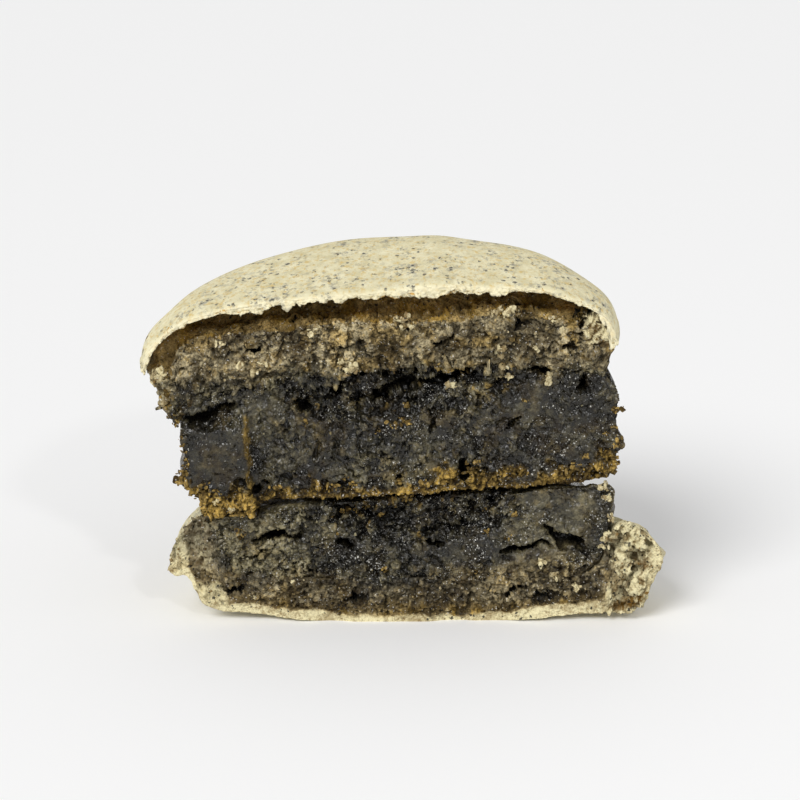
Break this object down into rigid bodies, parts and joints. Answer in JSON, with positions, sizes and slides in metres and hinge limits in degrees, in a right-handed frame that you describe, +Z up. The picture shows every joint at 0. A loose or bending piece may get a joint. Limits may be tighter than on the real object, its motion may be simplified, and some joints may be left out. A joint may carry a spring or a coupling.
{
  "type": "macaron",
  "caption": "Half of a broken sesame macaron: speckled cream meringue shells above and below a thick dark filling, with a craggy broken face and an air pocket under the domed top skin.",
  "frame": {"origin": "on the lower shell's upright axis, on the flat spot that the macaron rests on", "axes": "+Z up, +X along the broken face to the right as the face is looked at, +Y from the broken face back into the food"},
  "size_m": [0.0533, 0.0303, 0.0364],
  "materials": {
    "shell": "baked almond meringue, matt cream skin with dark sesame specks",
    "filling": "dark, slightly moist sesame paste with a browned base"
  },
  "bodies": {
    "root": {"upper_shell": "shell", "upper_filling": "filling", "lower_filling": "filling", "lower_shell": "shell"}
  },
  "joints": []
}
